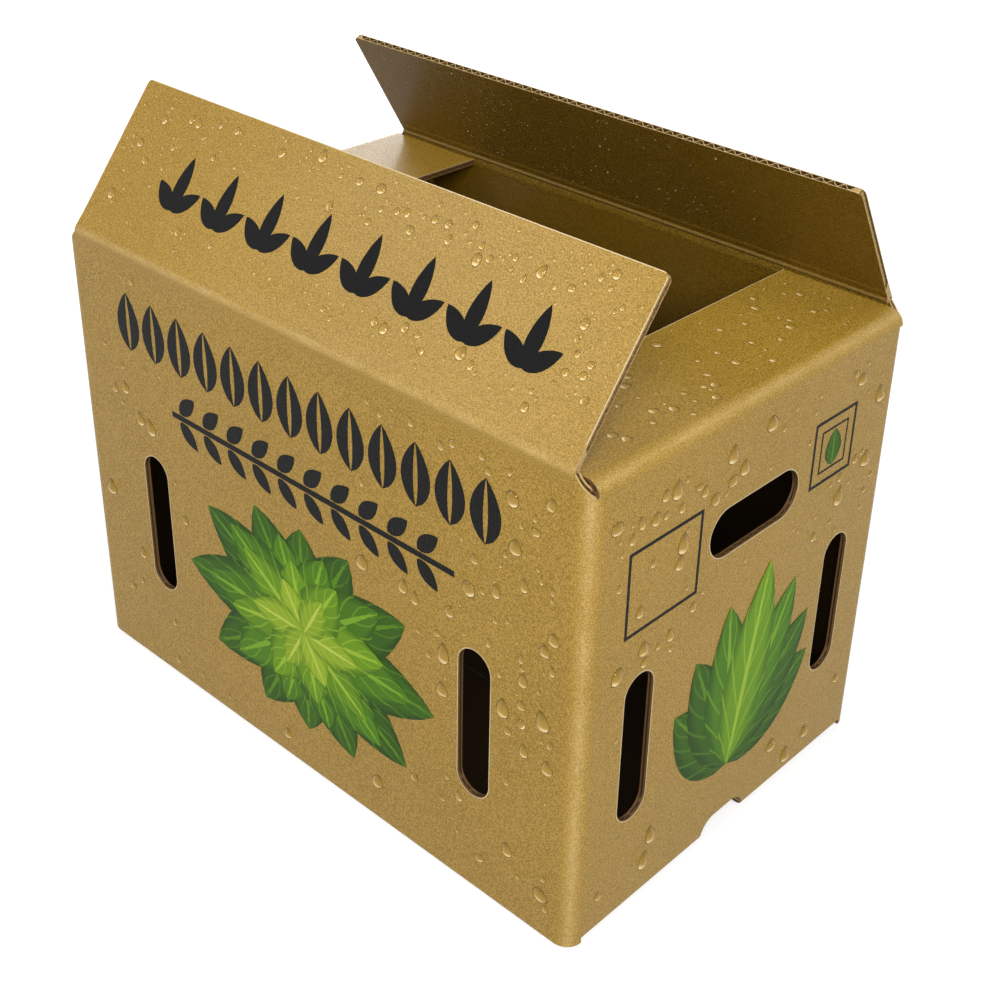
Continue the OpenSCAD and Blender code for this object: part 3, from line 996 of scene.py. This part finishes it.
def throw_beads(seed, area, count, largest, share_by_place, keep_out=(), limit=None, smallest=1.1):
    """Places and radii of beads inside an area, in mm, none touching another."""
    darts = random.Random(seed)
    laid = []
    for attempt in range(count * TRIES):
        x, y = darts.uniform(area[0], area[2]), darts.uniform(area[1], area[3])
        radius = smallest + (largest - smallest) * darts.random() ** 1.4
        if darts.random() > share_by_place(x, y):
            continue
        if limit and radius > limit(x, y):
            continue
        gap = radius + ZONE_GAP
        if any(a - gap < x < c + gap and b - gap < y < d + gap for a, b, c, d in keep_out):
            continue
        if any((x - p) ** 2 + (y - q) ** 2 < (1.2 * (radius + r) + 0.6) ** 2 for p, q, r in laid):
            continue
        laid.append((x, y, radius))
        if len(laid) == count:
            break
    return laid


def bead_copies(seed, laid, panel, runs=0.0, bed=outer_bed, squat=1.0):
    """Copies of the bead, or of the drop where a share of the larger ones runs, on a panel."""
    darts = random.Random(seed)
    copies = []
    for x, y, radius in laid:
        running = darts.random() < runs and radius > 1.2
        bead = own_copy(drop_pattern if running else bead_pattern)
        for finish in (water, bed, bead_shade):
            bead.data.materials.append(finish)
        rise = bead.data.attributes.new("rise", "FLOAT", "POINT")
        for vertex, value in zip(bead.data.vertices, rise.data):
            value.value = 0.5 + 0.5 * vertex.co.y / (DROP_STRETCH if running and vertex.co.y > 0 else 1)
        spin = darts.gauss(0, 8) if running else darts.gauss(0, 25)
        oval = 1 + darts.uniform(-0.14, 0.14)
        size = Matrix.Diagonal((radius * oval * MM, radius / oval * MM, radius * squat * MM, 1))
        where = Matrix.Translation((x * MM, y * MM, BEAD_GAP))
        bead.data.transform(PANELS[panel] @ where @ Matrix.Rotation(math.radians(spin), 4, "Z") @ size)
        copies.append(bead)
    return copies


def lay_water(name, copies, body):
    """One piece of water from all its beads, which rides on a body."""
    piece = join_copies(name, copies)
    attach(piece, body)
    print(name, len(copies), "beads,", len(piece.data.polygons), "faces")


# %% Beads on the carton
# They keep clear of holes and of the ink, where the board under water isn't brown.
DRAIN = (60, 24)
CREASE_SLOPE = 0.15
hand_hole, drain = dry_zone(HAND_HOLE, HAND), dry_zone((0, 0), DRAIN)
front_free = [dry_zone((side * FRONT_VENT[0], FRONT_VENT[1]), VENT) for side in (-1, 1)]
front_free += [dry_zone((x, y + 20), (20, 38)) for x, y in ROW]
front_free.append(dry_zone((4, 220), (256, 40)))
right_free = [dry_zone((side * END_VENT[0], END_VENT[1]), VENT) for side in (-1, 1)]
right_free += [hand_hole, drain, dry_zone((77, 248), (44, 45))]
right_free += [dry_zone((-82, z), (64, 3)) for z in (BLANK_LOW[1], BLANK_HIGH[1])]
right_free += [dry_zone((y, 234), (3, 56)) for y in (BLANK_LOW[0], BLANK_HIGH[0])]


def on_leaves(x, y, middle, radii):
    """Whether a place is on an oval ornament."""
    return ((x - middle[0]) / radii[0]) ** 2 + ((y - middle[1]) / radii[1]) ** 2 < 1


def front_wet(x, y):
    """The front is wettest high up and on the right, and its rosette has no beads."""
    if on_leaves(x, y, ROSETTE_MIDDLE, (122, 86)):
        return 0
    return 0.12 + 0.6 * (x > 60) * (y > 110) + 0.2 * (y > 200)


def right_wet(x, y):
    """The right end is wettest high up and near the front, and its fan has no beads."""
    if on_leaves(x, y, (5, 120), (92, 86)):
        return 0
    return 0.2 + 0.6 * (y > 170) + 0.3 * (x < -60)


def near_crease(x, y):
    """Largest bead near a flap's crease, where the open flap comes close to the panel."""
    return CREASE_SLOPE * (319 - y)


carton_water = []
for seed, panel, area, count, share_by_place, free in (
        (11, "front", (-206, 10, 206, 304), 110, front_wet, front_free),
        (12, "right", (-128, 10, 128, 294), 76, right_wet, right_free),
        (13, "rear", (-206, 10, 206, 304), 140, lambda x, y: 0.7, []),
        (14, "left", (-128, 10, 128, 294), 90, lambda x, y: 0.7, [hand_hole, drain])):
    limit = near_crease if panel in ("front", "rear") else None
    laid = throw_beads(seed, area, count, 4.9, share_by_place, free, limit)
    carton_water += bead_copies(seed, laid, panel, runs=0.75)
lay_water("water_on_carton", carton_water, "carton")

# %% Beads on the flaps
flap_free = [dry_zone((x, y + 17), (36, 34)) for x, y in SPRIGS]
flap_water = {}
for seed, panel, area, count, share_by_place, free in (
        (21, "front_flap", (-208, 9, 208, 103), 84, lambda x, y: 0.45 + 0.55 * (x > 0), flap_free),
        (22, "rear_flap", (-208, 9, 208, 91), 110, lambda x, y: 0.7, [])):
    def between(x, y):
        """Largest bead near the crease and inside the free edge."""
        return min(CREASE_SLOPE * y, (area[3] + 2 - y) / 1.8)

    laid = throw_beads(seed, area, count, 3.4, share_by_place, free, between)
    flap_water[panel] = bead_copies(seed, laid, panel, runs=0.25)
    fine = throw_beads(seed + 4, area, 3 * count, 1.2, share_by_place, free, between, smallest=0.5)
    flap_water[panel] += bead_copies(seed + 4, fine, panel)
mist = throw_beads(23, (-208, 9, 132, 91), 260, 1.9,
                   share_by_place=lambda x, y: 0.2 + 0.5 * (x < -60) + 0.3 * (y < 40),
                   limit=lambda x, y: 0.85 if x < -134 else CREASE_SLOPE * y, smallest=0.5)
flap_water["rear_flap"] += bead_copies(23, mist, "rear_flap_inside", bed=inner_bed)
for body, copies in flap_water.items():
    lay_water("water_on_" + body, copies, body)

# %% Beads on the end flaps
# The long flaps close half a millimetre above all but a middle band, so the beads under
# them are low. On the left, the mist inside the rear flap takes up that half millimetre.
END_FLAP_IN, END_FLAP_OUT = 141, 214
FRONT_COVER, REAR_COVER = -32, 46
end_flap_water = []
for seed, band, count, largest, squat in (
        (31, (-136, FRONT_COVER), 24, 3.3, 0.26), (32, (FRONT_COVER, REAR_COVER), 18, 3.8, 0.7),
        (33, (REAR_COVER, 136), 20, 3.3, 0.26)):
    for side in (-1, 1) if band[1] <= REAR_COVER else (1,):
        reach = sorted((side * END_FLAP_IN, side * END_FLAP_OUT))
        area = (reach[0], band[0] + 3, reach[1], band[1] - 3)
        laid = throw_beads(seed + 3 * side, area, count, largest, lambda x, y: 0.8)
        end_flap_water += bead_copies(seed + 3 * side, laid, "top", squat=squat)
lay_water("water_on_end_flaps", end_flap_water, "carton")
for pattern in (bead_pattern, drop_pattern):
    bpy.data.objects.remove(pattern)
